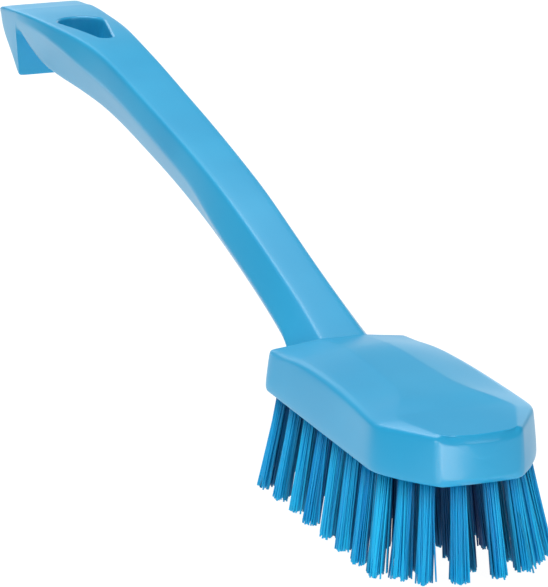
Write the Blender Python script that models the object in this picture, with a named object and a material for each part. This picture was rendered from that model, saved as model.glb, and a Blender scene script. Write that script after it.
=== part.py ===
"""Long-handled utility brush: one moulded block with its handle and hook, and
bristle tufts folded over flat anchors in blind, splayed holes.

Metres, +Z up, +X from the hook towards the front of the head. The brush stands
on its bristle tips at z = 0, with the middle of its length at x = 0.
"""
import math

import bmesh
import bpy
from mathutils import Matrix, Vector

MM = 0.001

# Block that carries the bristles
head_length = 124.7 * MM          # front of the head to the foot of the handle
head_width = 54.6 * MM            # across the lower edge
top_width = 52.2 * MM             # across the upper edge at the front corners
waist_width = 46.8 * MM           # across the upper edge at the rear corners
wall_height = 15.0 * MM           # side wall at the front corners
rear_wall_height = 11.3 * MM      # side wall at the rear corners
crown_rise = 3.4 * MM             # centre plateau above the side wall
plateau_width = 15.2 * MM         # between the two ridge lines
front_width = 27.4 * MM           # front wall between its two corners
front_corner_length = 20.2 * MM   # slanted corner walls, along the head
front_bow = 2.7 * MM              # how far the front wall bulges
corner_bow = 1.2 * MM             # how far the corner walls bulge at their foot
front_draft = 0.9 * MM            # lean of the front wall over its height
rear_corner_length = 12.8 * MM    # slanted rear walls, along the head
shoulder_width = 1.9 * MM         # soft shoulder inside the upper edge
shoulder_rise = 0.8 * MM
top_edge_round = 1.5 * MM
foot_edge_round = 2.2 * MM
wall_corner_round = 2.0 * MM
front_corner_round = 1.0 * MM     # upright edges beside the front wall
ridge_round = 1.2 * MM

# Bristles
bristle_height = 30.0 * MM        # from the block to the floor
tuft_diameter = 4.3 * MM
tuft_pitch = 11.9 * MM            # along a row
row_inset = 5.0 * MM              # outer row inside the lower edge
side_splay = math.radians(10.3)
end_splay = math.radians(10.5)
tuft_clearance = 0.3 * MM
hole_depth = 9.0 * MM
anchor_height = 1.6 * MM
anchor_thickness = 0.5 * MM
anchor_bite = 0.5 * MM            # how far an anchor cuts into the hole's wall
fold_depth = 1.2 * MM             # bristles above the anchor, round the fold

# Handle
handle_length = 277.4 * MM        # rear wall of the head to the hook
handle_rise = 63.8 * MM           # highest line of the handle above the block's foot
grip_width = 13.9 * MM            # top face at its narrowest
end_width = 30.0 * MM             # top face at the hook
grip_depth = 19.4 * MM
end_depth = 6.6 * MM              # over the gap of the hook
side_swell = 3.0 * MM             # widest line beyond the edge of the top face
under_width = 13.0 * MM
grip_round = 1.2 * MM
swell_round = 1.6 * MM
under_round = 2.0 * MM

# Hook
hook_thickness = 19.0 * MM        # at the top
hook_drop = 24.8 * MM             # top face to the point

# Hanging hole
hang_length = 38.2 * MM
hang_width = 16.8 * MM            # round end towards the hook
hang_tip_width = 6.8 * MM         # round end towards the head
hang_rim_round = 1.8 * MM         # half as much on the underside
hang_from_hook = 23.4 * MM        # hole to the hook's inner face

cut_overrun = 1.0 * MM

PLASTIC_BLUE = (0.115, 0.405, 0.730, 1.0)
BRISTLE_BLUE = (0.030, 0.300, 0.640, 1.0)

# Handle, from the head to the hook, as shares of: its length, its rise, the
# way from grip width to end width, the way from grip depth to end depth, the
# depth at which the widest line lies, the swell of that line, and the way
# from the under width to the end width.
HANDLE_SHARES = (
    (0.000, 0.299, 0.02, 0.02, 0.51, 2.43, 0.42),
    (0.026, 0.334, 0.00, 0.00, 0.47, 2.23, 0.24),
    (0.053, 0.368, 0.00, 0.00, 0.49, 2.02, 0.12),
    (0.117, 0.448, 0.00, 0.00, 0.50, 1.28, 0.03),
    (0.192, 0.542, 0.02, 0.00, 0.50, 0.86, 0.00),
    (0.277, 0.641, 0.06, 0.00, 0.48, 0.74, 0.00),
    (0.373, 0.730, 0.10, 0.01, 0.46, 0.69, 0.00),
    (0.469, 0.807, 0.15, 0.01, 0.45, 0.69, 0.00),
    (0.565, 0.877, 0.19, -0.02, 0.43, 0.69, 0.02),
    (0.650, 0.939, 0.23, -0.06, 0.44, 0.66, 0.06),
    (0.714, 0.975, 0.29, -0.08, 0.45, 0.62, 0.12),
    (0.767, 0.993, 0.41, -0.09, 0.42, 0.58, 0.21),
    (0.821, 1.000, 0.58, -0.07, 0.33, 0.54, 0.32),
    (0.868, 0.998, 0.71, -0.01, 0.28, 0.45, 0.46),
    (0.916, 0.992, 0.81, 0.17, 0.26, 0.30, 0.68),
    (0.959, 0.980, 0.92, 0.52, 0.30, 0.17, 0.83),
    (0.985, 0.968, 0.97, 0.84, 0.40, 0.10, 0.93),
    (0.989, 0.967, 0.98, 0.875, 0.42, 0.09, 0.94),
    (0.9965, 0.963, 0.985, 0.875, 0.43, 0.08, 0.96),
    (1.000, 0.962, 0.99, 0.79, 0.43, 0.07, 0.97),
)
HANDLE_STATIONS = 26
# Rings of the fillet between the handle's underside and the hook.
FILLET_SHARES = (1.0, 0.9965, 0.989)

# Hook, from its inner face to its end, as shares of: its thickness, how much
# of its drop is left, how far its top face has fallen, and its width.
HOOK_SHARES = (
    (0.03, 1.00, 0.00, 0.925),
    (0.11, 0.985, 0.01, 0.935),
    (0.22, 0.86, 0.02, 0.960),
    (0.36, 0.745, 0.03, 0.975),
    (0.52, 0.640, 0.04, 0.985),
    (0.72, 0.530, 0.055, 0.990),
    (0.88, 0.420, 0.07, 0.985),
    (0.965, 0.315, 0.09, 0.975),
    (1.00, 0.230, 0.13, 0.950),
)

# Head between its rear and front corners, as shares of: the way forward, the
# way from the waist to the front width, the way from the rear to the front
# wall height, the crown's rise at the ridge, and the ridge's spread beyond
# the plateau towards the upper edge.
HEAD_SHARES = (
    (0.06, 0.06, 0.30, 0.23, -0.04),
    (0.13, 0.12, 0.55, 0.50, -0.05),
    (0.21, 0.15, 0.82, 0.80, -0.05),
    (0.30, 0.20, 1.00, 0.96, -0.01),
    (0.42, 0.27, 1.14, 1.00, 0.01),
    (0.54, 0.36, 1.22, 1.00, 0.03),
    (0.66, 0.48, 1.22, 1.00, 0.06),
    (0.76, 0.62, 1.18, 1.00, 0.11),
    (0.84, 0.76, 1.12, 1.00, 0.20),
    (0.905, 0.87, 1.06, 1.00, 0.36),
)
# Crease where the handle leaves the head: foot of the top face and of the
# side, as shares of the rear corners' length and of the rear wall's height.
CREASE_SHARE = 0.97
MID_CREASE_SHARE = 0.48

# Front tufts of the outer row, as shares of the corners' length plus the
# bow, and of half the head's width.
FRONT_TUFT_SHARES = ((0.358, 0.183), (0.512, 0.480), (0.760, 0.636))
REAR_TUFT_SHARE = 0.36
MID_ROW_SHARE = 0.50
UPRIGHT_SHARE = 0.70              # where along the head tufts lean neither way
TIP_SPREAD_SHARE = 1.22           # width of a tuft on the floor over its root
STRAND_TAPER_SHARE = 0.74
CORE_SHARE = 0.40                 # middle strand of a tuft

CROWN_FALL_SHARE = 0.36           # length over which the crown falls to the front
UNDER_POINT_SHARE = 0.55          # extra point of the underside, across its half
WALL_FILL_SHARES = (0.64, 0.28)   # rings that close the bowed front wall
# Rounded rim of the hanging hole, from below to above: whether at the top face,
# and as shares of the rim's round, how far out and how far up.
RIM_SHARES = (
    (False, 0.66, 1.00),
    (False, 0.66, -0.06),
    (False, 0.29, -0.29),
    (False, 0.06, -0.66),
    (False, 0.00, -1.00),
    (True, 0.00, -1.00),
    (True, 0.06, -0.66),
    (True, 0.29, -0.29),
    (True, 0.66, -0.06),
    (True, 0.66, 1.00),
)

tuft_radius = tuft_diameter / 2
hole_radius = tuft_radius + tuft_clearance
head_rear_x = -head_length
rear_corner_x = head_rear_x + rear_corner_length
front_corner_x = -front_bow - front_corner_length
hook_x = head_rear_x - handle_length
handle_top_z = bristle_height + handle_rise


def remove_everything():
    for thing in list(bpy.data.objects):
        bpy.data.objects.remove(thing, do_unlink=True)


def make_material(name, colour, roughness, metallic=0.0):
    material = bpy.data.materials.new(name)
    material.use_nodes = True
    shader = material.node_tree.nodes["Principled BSDF"]
    shader.inputs["Base Color"].default_value = colour
    shader.inputs["Roughness"].default_value = roughness
    shader.inputs["Metallic"].default_value = metallic
    material.diffuse_color = colour
    return material


def add_object(name, mesh, parent, material=None, guide=False):
    thing = bpy.data.objects.new(name, mesh)
    bpy.context.collection.objects.link(thing)
    thing.parent = parent
    if material is not None:
        mesh.materials.append(material)
    if guide:
        thing.hide_render = True
        thing.display_type = 'WIRE'
    return thing


def between(start, stop, share):
    return start + (stop - start) * share


def smooth_row(table, share):
    """Row of a table at a share of its first column, by a smooth curve."""
    last = len(table) - 1
    index = 0
    while index < last - 1 and table[index + 1][0] < share:
        index += 1
    before, here = table[max(index - 1, 0)], table[index]
    there, after = table[index + 1], table[min(index + 2, last)]
    span = there[0] - here[0]
    step = (share - here[0]) / span
    row = []
    for a, b, c, d, in zip(before, here, there, after):
        pull_in = (c - a) * span / (there[0] - before[0])
        pull_out = (d - b) * span / (after[0] - here[0])
        row.append((2 * step ** 3 - 3 * step ** 2 + 1) * b
                   + (step ** 3 - 2 * step ** 2 + step) * pull_in
                   + (3 * step ** 2 - 2 * step ** 3) * c
                   + (step ** 3 - step ** 2) * pull_out)
    return row


def rounded_ring(half, rounds):
    """Closed section from one half, top centre to bottom centre.

    Each corner with a round becomes three points of its arc.
    """
    half = [Vector(point) for point in half]
    right = [half[0]]
    for index in range(1, len(half) - 1):
        corner, size = half[index], rounds[index - 1]
        if size == 0.0:
            right.append(corner)
            continue
        back, ahead = half[index - 1] - corner, half[index + 1] - corner
        start = corner + back.normalized() * min(size, back.length * 0.4)
        stop = corner + ahead.normalized() * min(size, ahead.length * 0.4)
        right += [start, (start + corner * 2 + stop) / 4, stop]
    right.append(half[-1])
    left = [Vector((p.x, -p.y, p.z)) for p in reversed(right[1:-1])]
    return right + left


def crown_share(x):
    """Height of the crown at a place along the head, falling to the front."""
    step = min(-x / (head_length * CROWN_FALL_SHARE), 1.0)
    return 1.0 - (1.0 - step) ** 2


def front_wall_x(y, height_share):
    bulge = front_bow * (2 * y / front_width) ** 2
    return -bulge - front_draft * height_share


def handle_ring(share):
    row = smooth_row(HANDLE_SHARES, share)
    x = head_rear_x - handle_length * row[0]
    top = bristle_height + handle_rise * row[1]
    half_top = between(grip_width, end_width, row[2]) / 2
    depth = between(grip_depth, end_depth, row[3])
    half_swell = half_top + side_swell * row[5]
    swell_z = top - depth * row[4]
    under_z = max(top - depth, bristle_height)
    half_under = between(under_width, end_width, row[6]) / 2
    half = [(x, 0, top), (x, half_top, top),
            (x, (half_top + half_swell) / 2, (top + swell_z) / 2),
            (x, half_swell, swell_z), (x, half_under, under_z),
            (x, half_under * UNDER_POINT_SHARE, under_z), (x, 0, under_z)]
    return half, (grip_round, 0.0, swell_round, under_round, 0.0)


def hook_ring(row):
    x = hook_x - hook_thickness * row[0]
    under_x = x + hook_thickness * HOOK_SHARES[0][0]
    start = handle_ring(1.0)[0]
    top = start[0][2] - hook_drop * row[2]
    under = start[0][2] - hook_drop * row[1]
    half_top = end_width / 2
    half_under = half_top * row[3]
    half_swell = between(half_top, half_under, 0.5)
    half = [(x, 0, top), (x, half_top, top),
            (x, between(half_top, half_swell, 0.5), between(top, under, 0.25)),
            (between(x, under_x, 0.5), half_swell, between(top, under, 0.5)),
            (under_x, half_under, under),
            (under_x, half_under * UNDER_POINT_SHARE, under), (under_x, 0, under)]
    return half, (grip_round, 0.0, swell_round, grip_round, 0.0)


def head_ring(row):
    x = between(rear_corner_x, front_corner_x, row[0])
    edge = between(waist_width, top_width, row[1]) / 2
    edge_z = bristle_height + between(rear_wall_height, wall_height, row[2])
    plateau_z = bristle_height + wall_height + crown_rise
    foot_z = bristle_height + wall_height
    ridge_z = between(foot_z, plateau_z, row[3] * crown_share(x))
    ridge = between(plateau_width / 2, edge, row[4])
    return [(x, 0, ridge_z), (x, ridge, ridge_z),
            (x, edge - shoulder_width, edge_z + shoulder_rise),
            (x, edge, edge_z), (x, head_width / 2, bristle_height),
            (x, head_width / 2 * UNDER_POINT_SHARE, bristle_height),
            (x, 0, bristle_height)]


def junction_rings():
    """The handle's foot on the rear wall, and the head's rear outline."""
    foot, rounds = handle_ring(0.0)
    crease_x = between(head_rear_x, rear_corner_x, CREASE_SHARE)
    foot_z = bristle_height + wall_height
    rear_z = bristle_height + rear_wall_height
    half_plateau = plateau_width / 2
    swell = foot[3]
    foot[0], foot[1] = (crease_x, 0, foot_z), (crease_x, half_plateau, foot_z)
    foot[2] = (between(swell[0], crease_x, MID_CREASE_SHARE),
               between(swell[1], half_plateau, MID_CREASE_SHARE),
               between(swell[2], foot_z, MID_CREASE_SHARE))
    edge_x = between(head_rear_x, rear_corner_x, 0.52)
    top_x = crease_x + shoulder_rise / 2
    rear = [(top_x, 0, foot_z), (top_x, half_plateau, foot_z),
            (edge_x + shoulder_width, waist_width / 2 - shoulder_width,
             rear_z + shoulder_rise),
            (edge_x, waist_width / 2 - wall_corner_round / 2, rear_z),
            (rear_corner_x - wall_corner_round / 2,
             head_width / 2 - wall_corner_round / 2, bristle_height),
            (rear_corner_x, head_width / 2 * UNDER_POINT_SHARE, bristle_height),
            (rear_corner_x, 0, bristle_height)]
    turned = [(crease_x + shoulder_rise, 0, foot_z),
              (crease_x + shoulder_rise, half_plateau, foot_z),
              (edge_x + wall_corner_round, waist_width / 2 - shoulder_width / 2,
               rear_z + shoulder_rise),
              (edge_x + wall_corner_round, waist_width / 2, rear_z),
              (rear_corner_x + wall_corner_round, head_width / 2,
               bristle_height),
              (rear_corner_x + wall_corner_round,
               head_width / 2 * UNDER_POINT_SHARE, bristle_height),
              (rear_corner_x + wall_corner_round, 0, bristle_height)]
    return (foot, rounds), rear, turned


def front_rings():
    """Rings round the slanted front corners to the edge of the front wall."""
    top_z = bristle_height + wall_height
    low_z = bristle_height
    half_front = front_width / 2
    run = math.hypot(front_corner_length, (head_width - front_width) / 2)
    turn = wall_corner_round / run
    last = 1.0 - front_corner_round / run
    first_low = Vector((front_corner_x, head_width / 2, low_z))
    last_low = Vector((front_wall_x(half_front, 0.0), half_front, low_z))
    first_top = Vector((front_corner_x, top_width / 2, top_z))
    last_top = Vector((front_wall_x(half_front, 1.0), half_front, top_z))
    plateau_z = top_z + crown_rise
    rings = []
    shares = (-turn, turn, 0.5, last)
    spreads = (0.70, 0.76, 0.80, 0.80)
    for share, spread in zip(shares, spreads):
        if share < 0.0:
            low = first_low + Vector((share * run, 0, 0))
            top = first_top + Vector((share * run, 0, 0))
        else:
            low = first_low.lerp(last_low, share)
            top = first_top.lerp(last_top, share)
            bulge = corner_bow * 4 * share * (1.0 - share)
            low += Vector((last_low.y - first_low.y,
                           first_low.x - last_low.x, 0)).normalized() * -bulge
        middle_x = between(first_top.x, 0, max(share, 0.0) * 0.93)
        middle_z = between(top_z, plateau_z, crown_share(middle_x))
        side_x = between(middle_x, top.x, spread * spread)
        side_z = between(top_z, plateau_z, crown_share(side_x))
        rings.append([
            (middle_x, 0, middle_z),
            (side_x, top.y * spread, between(top.z + shoulder_rise, side_z,
                                             0.55)),
            (between(middle_x, top.x, 0.9) - shoulder_rise,
             top.y - shoulder_width, top.z + shoulder_rise),
            tuple(top), tuple(low), (low.x, low.y * UNDER_POINT_SHARE, low_z),
            (low.x, 0, low_z)])
    # edge of the front wall, then the wall itself set in by its rounds
    for on_wall in (False, True):
        turned = front_corner_round if on_wall else front_corner_round / 4
        top_inset = 0.0 if on_wall else top_edge_round
        foot_inset = 0.0 if on_wall else foot_edge_round
        high = top_z - top_edge_round if on_wall else top_z
        low = low_z + foot_edge_round if on_wall else low_z
        y_side = half_front - turned
        ring = []
        for share in (0.0, 0.45, 0.8, 1.0):
            y = y_side * share
            at_corner = share == 1.0 and not on_wall
            lift = 0.0 if on_wall or at_corner else shoulder_rise / 2
            ring.append((front_wall_x(y, 1.0)
                         - (turned if at_corner else top_inset), y,
                         high + lift))
        for share in (1.0, UNDER_POINT_SHARE, 0.0):
            y = y_side * share
            at_corner = share == 1.0 and not on_wall
            ring.append((front_wall_x(y, 0.0)
                         - (turned if at_corner else foot_inset), y, low))
        rings.append(ring)
    # the bowed wall itself, towards its middle
    outline, middle_z = rings[-1], between(low_z, top_z, 0.5)
    for share in WALL_FILL_SHARES:
        ring = []
        for _, y, z in outline:
            y, z = y * share, between(middle_z, z, share)
            ring.append((front_wall_x(y, (z - low_z) / wall_height), y, z))
        rings.append(ring)
    return rings


def block_rings():
    rings = []
    for row in reversed(HOOK_SHARES):
        rings.append(rounded_ring(*hook_ring(row)))
    stations = [1.0 - index / HANDLE_STATIONS
                for index in range(1, HANDLE_STATIONS)]
    for share in list(FILLET_SHARES) + stations:
        rings.append(rounded_ring(*handle_ring(share)))
    (foot, foot_rounds), rear, turned = junction_rings()
    rings.append(rounded_ring(foot, foot_rounds))
    head_rounds = (ridge_round, 0.0, top_edge_round, foot_edge_round, 0.0)
    rings.append(rounded_ring(rear, head_rounds))
    rings.append(rounded_ring(turned, head_rounds))
    for row in HEAD_SHARES:
        rings.append(rounded_ring(head_ring(row), head_rounds))
    for ring in front_rings():
        rings.append(rounded_ring(ring, head_rounds))
    return rings


def loft(rings, name):
    """Skin closed rings of equal counts and close both ends with fans."""
    shape = bmesh.new()
    layers = [[shape.verts.new(point) for point in ring] for ring in rings]
    count = len(layers[0])
    for here, there in zip(layers, layers[1:]):
        for index in range(count):
            after = (index + 1) % count
            shape.faces.new((here[index], here[after],
                             there[after], there[index]))
    for layer, flip in ((layers[0], True), (layers[-1], False)):
        ring = layer[::-1] if flip else layer
        cap = shape.faces.new(ring)
        bmesh.ops.poke(shape, faces=[cap], center_mode='MEAN')
    bmesh.ops.recalc_face_normals(shape, faces=shape.faces)
    bmesh.ops.triangulate(shape, faces=shape.faces)
    mesh = bpy.data.meshes.new(name)
    shape.to_mesh(mesh)
    shape.free()
    return mesh


def tuft_places():
    """Name, mouth of the hole and lean of every tuft."""
    half_head = head_width / 2
    outer_y = half_head - row_inset
    mid_y = outer_y * MID_ROW_SHARE
    upright_x = head_rear_x * UPRIGHT_SHARE
    places = []

    def place(name, x, y):
        lean_x = math.tan(end_splay) * min(
            (x - upright_x) / (head_length / 2), 1.0)
        lean_y = math.tan(side_splay) * y / outer_y
        places.append((name, Vector((x, y, bristle_height)),
                       Vector((lean_x, lean_y, -1)).normalized()))

    for side, sign in (("left", 1), ("right", -1)):
        first_x = front_corner_x + tuft_radius / 4
        count = int((first_x - rear_corner_x) / tuft_pitch) + 1
        for index in range(count):
            place(f"tuft_outer_{side}_{index + 1}",
                  first_x - tuft_pitch * index, sign * outer_y)
            place(f"tuft_middle_{side}_{index + 1}",
                  first_x - tuft_pitch * index + tuft_radius / 2, sign * mid_y)
        for index, (along, across) in enumerate(FRONT_TUFT_SHARES):
            place(f"tuft_front_{side}_{index + 1}",
                  front_corner_x * along, sign * half_head * across)
        rear_x = between(rear_corner_x, head_rear_x, REAR_TUFT_SHARE)
        place(f"tuft_rear_{side}", rear_x - tuft_radius / 2,
              sign * (mid_y - tuft_radius / 2))
    first_x = front_corner_x + tuft_pitch / 2
    count = int((first_x - head_rear_x - row_inset) / tuft_pitch) + 1
    for index in range(count):
        place(f"tuft_centre_{index + 1}", first_x - tuft_pitch * index, 0)
    return places


def tuft_frame(mouth, lean):
    """Frame at the hole's mouth: +Z up the hole, X as near world X as can be."""
    up = -lean
    side = up.cross(Vector((1, 0, 0))).normalized()
    along = side.cross(up).normalized()
    frame = Matrix((along, side, up)).transposed().to_4x4()
    frame.translation = mouth
    return frame


def regular_ring(sides, radius, z):
    """Ring with flat sides square to X and Y."""
    turn = math.pi / sides
    return [Vector((radius * math.cos(turn + 2 * math.pi * i / sides),
                    radius * math.sin(turn + 2 * math.pi * i / sides), z))
            for i in range(sides)]


def hole_cutter(places):
    shape = bmesh.new()
    outer = hole_radius / math.cos(math.pi / 12)
    for _, mouth, lean in places:
        frame = tuft_frame(mouth, lean)
        low = [shape.verts.new(frame @ p)
               for p in regular_ring(12, outer, -2 * cut_overrun)]
        high = [shape.verts.new(frame @ p)
                for p in regular_ring(12, outer, hole_depth)]
        shape.faces.new(low[::-1])
        shape.faces.new(high)
        for i in range(12):
            j = (i + 1) % 12
            shape.faces.new((low[i], low[j], high[j], high[i]))
    mesh = bpy.data.meshes.new("tuft_holes")
    shape.to_mesh(mesh)
    shape.free()
    return mesh


def anchor_span():
    """Where an anchor lies along its hole, from its lower to its upper edge."""
    high = hole_depth - tuft_clearance - fold_depth - tuft_clearance
    return high - anchor_height, high


def anchor_strips(places):
    """Flat anchors on edge across the holes, their ends in the holes' walls."""
    low_z, high_z = anchor_span()
    half_long = hole_radius + anchor_bite
    half_thick = anchor_thickness / 2
    shape = bmesh.new()
    for _, mouth, lean in places:
        frame = tuft_frame(mouth, lean)
        corners = [shape.verts.new(frame @ Vector((x, y, z)))
                   for z in (low_z, high_z)
                   for x, y in ((-half_thick, -half_long),
                                (half_thick, -half_long),
                                (half_thick, half_long),
                                (-half_thick, half_long))]
        shape.faces.new(corners[3::-1])
        shape.faces.new(corners[4:])
        for i in range(4):
            j = (i + 1) % 4
            shape.faces.new((corners[i], corners[j],
                             corners[j + 4], corners[i + 4]))
    mesh = bpy.data.meshes.new("anchors")
    shape.to_mesh(mesh)
    shape.free()
    return mesh


def tuft_mesh(name, mouth, lean):
    """Root folded round its anchor, and nine strands cut level at the floor."""
    frame = tuft_frame(mouth, lean)
    rotation = frame.to_3x3()
    low_z, high_z = anchor_span()
    eye_low, eye_high = low_z - tuft_clearance, high_z + tuft_clearance
    eye_half = anchor_thickness / 2 + tuft_clearance
    root_z = hole_depth - tuft_clearance
    shape = bmesh.new()
    low = [shape.verts.new(p) for p in regular_ring(8, tuft_radius, 0)]
    high = [shape.verts.new(p) for p in regular_ring(8, tuft_radius, root_z)]
    shape.faces.new(high)
    eyes = []
    for i in range(8):
        j = (i + 1) % 8
        corners = (low[i], low[j], high[j], high[i])
        facing = (low[i].co + low[j].co) / 2
        if abs(facing.x) > tuft_radius / 4:
            shape.faces.new(corners)
            continue
        # the eye that the anchor passes through
        sign = 1 if low[j].co.x > low[i].co.x else -1
        y = facing.y
        eye = [shape.verts.new((sign * x, y, z)) for x, z in
               ((-eye_half, eye_low), (eye_half, eye_low),
                (eye_half, eye_high), (-eye_half, eye_high))]
        for a in range(4):
            b = (a + 1) % 4
            shape.faces.new((corners[a], corners[b], eye[b], eye[a]))
        eyes.append(eye if sign > 0 else [eye[1], eye[0], eye[3], eye[2]])
    first, second = eyes
    for a in range(4):
        b = (a + 1) % 4
        shape.faces.new((first[a], first[b], second[b], second[a]))
    # strands: a square core, with four-sided and three-sided ones round it
    core = [shape.verts.new(p)
            for p in regular_ring(4, tuft_radius * CORE_SHARE, 0)]
    cells = [core]
    for i in range(8):
        j = (i + 1) % 8
        middle = math.atan2(low[i].co.y + low[j].co.y,
                            low[i].co.x + low[j].co.x)
        quarter = int(round(4 * middle / math.pi)) % 8
        if quarter % 2 == 0:
            a = (quarter // 2 - 1) % 4
            cells.append([low[i], low[j], core[(a + 1) % 4], core[a]])
        else:
            cells.append([low[i], low[j], core[(quarter - 1) // 2 % 4]])
    for cell in cells:
        centre = sum((v.co for v in cell), Vector()) / len(cell)
        tips = []
        for vert in cell:
            spot = (centre + (vert.co - centre) * STRAND_TAPER_SHARE)
            spot = Vector((spot.x, spot.y, 0)) * TIP_SPREAD_SHARE
            lifted = mouth.z + (rotation @ spot).z
            tips.append(shape.verts.new(
                spot + Vector((0, 0, lifted / lean.z))))
        shape.faces.new(tips)
        for a in range(len(cell)):
            b = (a + 1) % len(cell)
            shape.faces.new((cell[a], cell[b], tips[b], tips[a]))
    bmesh.ops.recalc_face_normals(shape, faces=shape.faces)
    mesh = bpy.data.meshes.new(name)
    shape.to_mesh(mesh)
    shape.free()
    return mesh


def hang_cutter():
    """Drop-shaped slot, broad towards the hook, through the whole handle."""
    broad, narrow = hang_width / 2, hang_tip_width / 2
    broad_x = hook_x + hang_from_hook + broad
    narrow_x = hook_x + hang_from_hook + hang_length - narrow
    tangent = math.acos((broad - narrow) / (narrow_x - broad_x))
    outline = []
    for centre, radius, start, stop, steps in (
            (broad_x, broad, tangent, 2 * math.pi - tangent, 14),
            (narrow_x, narrow, -tangent, tangent, 6)):
        for step in range(steps + 1):
            turn = between(start, stop, step / steps)
            outline.append(Vector((centre + radius * math.cos(turn),
                                   radius * math.sin(turn))))
    count = len(outline)
    outward = [(outline[(i + 1) % count] - outline[i - 1]).normalized()
               for i in range(count)]
    shape = bmesh.new()
    layers = []
    for above, turn_share, rise_share in RIM_SHARES:
        rim = hang_rim_round if above else -hang_rim_round / 2
        layer = []
        for point, along in zip(outline, outward):
            spot = point + Vector((along.y, -along.x)) * abs(rim) * turn_share
            section = handle_ring((head_rear_x - spot.x) / handle_length)[0]
            z = section[0][2] if above else section[-1][2]
            z += rim * rise_share
            layer.append(shape.verts.new((spot.x, spot.y, z)))
        layers.append(layer)
    for here, there in zip(layers, layers[1:]):
        for i in range(count):
            j = (i + 1) % count
            shape.faces.new((here[i], here[j], there[j], there[i]))
    shape.faces.new(layers[0][::-1])
    shape.faces.new(layers[-1])
    bmesh.ops.triangulate(shape, faces=shape.faces)
    bmesh.ops.recalc_face_normals(shape, faces=shape.faces)
    mesh = bpy.data.meshes.new("hanging_hole")
    shape.to_mesh(mesh)
    shape.free()
    return mesh


def boolean(thing, tool, operation):
    step = thing.modifiers.new(tool.name, 'BOOLEAN')
    step.operation = operation
    step.object = tool
    step.solver = 'EXACT'


def build():
    remove_everything()
    root = bpy.data.objects.new("brush", None)
    bpy.context.collection.objects.link(root)
    plastic = make_material("blue_plastic", PLASTIC_BLUE, 0.32)
    bristle = make_material("blue_bristle", BRISTLE_BLUE, 0.45)

    places = tuft_places()
    block = add_object("block_and_handle", loft(block_rings(), "block"),
                       root, plastic)
    block.data.shade_smooth()
    block.data.set_sharp_from_angle(angle=math.radians(28))
    hang = add_object("hanging_hole", hang_cutter(), root, guide=True)
    holes = add_object("tuft_holes", hole_cutter(places), root, guide=True)
    strips = add_object("anchors", anchor_strips(places), root, guide=True)
    boolean(block, hang, 'DIFFERENCE')
    boolean(block, holes, 'DIFFERENCE')
    boolean(block, strips, 'UNION')

    reach = 0
    for name, mouth, lean in places:
        tuft = add_object(name, tuft_mesh(name, mouth, lean), root, bristle)
        frame = tuft_frame(mouth, lean)
        tuft.matrix_local = frame
        reach = max([reach] + [(frame @ v.co).x for v in tuft.data.vertices])
    # the middle of the length comes to x = 0
    root.location.x = (head_length + handle_length + hook_thickness - reach) / 2


build()
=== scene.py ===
# %% [markdown]
# A long-handled utility brush: one blue plastic moulding, made of a block, an
# arched handle and a hook, with tufts of fine filaments in its underside. The
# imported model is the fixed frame. This file adds what the eye sees: the
# moulding's rounded edges, every single filament, the finishes and the light.

# %% The frame
import math

import bmesh
import bpy
from mathutils import Matrix, Vector, geometry


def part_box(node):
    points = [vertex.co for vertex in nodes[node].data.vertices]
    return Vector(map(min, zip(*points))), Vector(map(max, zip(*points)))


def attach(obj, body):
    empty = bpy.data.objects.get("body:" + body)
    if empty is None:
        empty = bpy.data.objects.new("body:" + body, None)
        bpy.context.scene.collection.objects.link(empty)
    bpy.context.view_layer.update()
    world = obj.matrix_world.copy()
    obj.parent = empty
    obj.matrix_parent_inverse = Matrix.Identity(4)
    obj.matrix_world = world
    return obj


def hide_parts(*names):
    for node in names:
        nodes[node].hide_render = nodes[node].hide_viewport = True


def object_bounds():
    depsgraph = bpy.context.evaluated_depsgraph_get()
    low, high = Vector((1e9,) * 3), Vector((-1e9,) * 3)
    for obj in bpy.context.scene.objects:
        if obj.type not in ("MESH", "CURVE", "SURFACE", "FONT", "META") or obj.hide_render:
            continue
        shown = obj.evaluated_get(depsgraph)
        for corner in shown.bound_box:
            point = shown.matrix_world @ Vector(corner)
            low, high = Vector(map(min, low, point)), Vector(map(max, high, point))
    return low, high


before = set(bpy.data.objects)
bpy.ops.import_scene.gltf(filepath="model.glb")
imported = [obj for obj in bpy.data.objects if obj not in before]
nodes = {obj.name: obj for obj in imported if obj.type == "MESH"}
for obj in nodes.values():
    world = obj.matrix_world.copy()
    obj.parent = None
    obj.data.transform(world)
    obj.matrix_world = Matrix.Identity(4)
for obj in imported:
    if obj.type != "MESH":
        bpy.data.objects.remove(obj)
cad_box = [list(corner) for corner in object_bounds()]
MM = 0.001
print("frame:", len(nodes), "nodes, box", cad_box)

# %% [markdown]
# The camera stands in front of the head, to the right of the brush and a
# little above it, far away with a long lens, as product photographs are taken.
# A long lens keeps the handle from shrinking towards the back. The place and
# the lens were found by fitting the head's mirrored corners to the picture.

# %% The camera
TURN, DIP = math.radians(20.8), math.radians(15.79)
EYE = Vector((1.3574, -0.5015, 0.4422))
SENSOR_WIDTH, LENS = 36.0, 275.98                       # in millimetres
NEAREST, FARTHEST = 0.01, 50.0


def add_object(name, data):
    """A new object in the scene."""
    thing = bpy.data.objects.new(name, data)
    bpy.context.scene.collection.objects.link(thing)
    return thing


def look(thing, place, direction):
    """Puts a camera or a lamp at a place, looking in a direction."""
    thing.location = place
    thing.rotation_mode = "QUATERNION"
    thing.rotation_quaternion = direction.to_track_quat("-Z", "Y")


ahead = Vector((-math.cos(TURN) * math.cos(DIP),
                math.sin(TURN) * math.cos(DIP), -math.sin(DIP)))
camera = add_object("camera", bpy.data.cameras.new("camera"))
bpy.context.scene.camera = camera
camera.data.sensor_width, camera.data.lens = SENSOR_WIDTH, LENS
camera.data.clip_start, camera.data.clip_end = NEAREST, FARTHEST
look(camera, EYE, ahead)
print("camera at", EYE, "lens", LENS)

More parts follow.
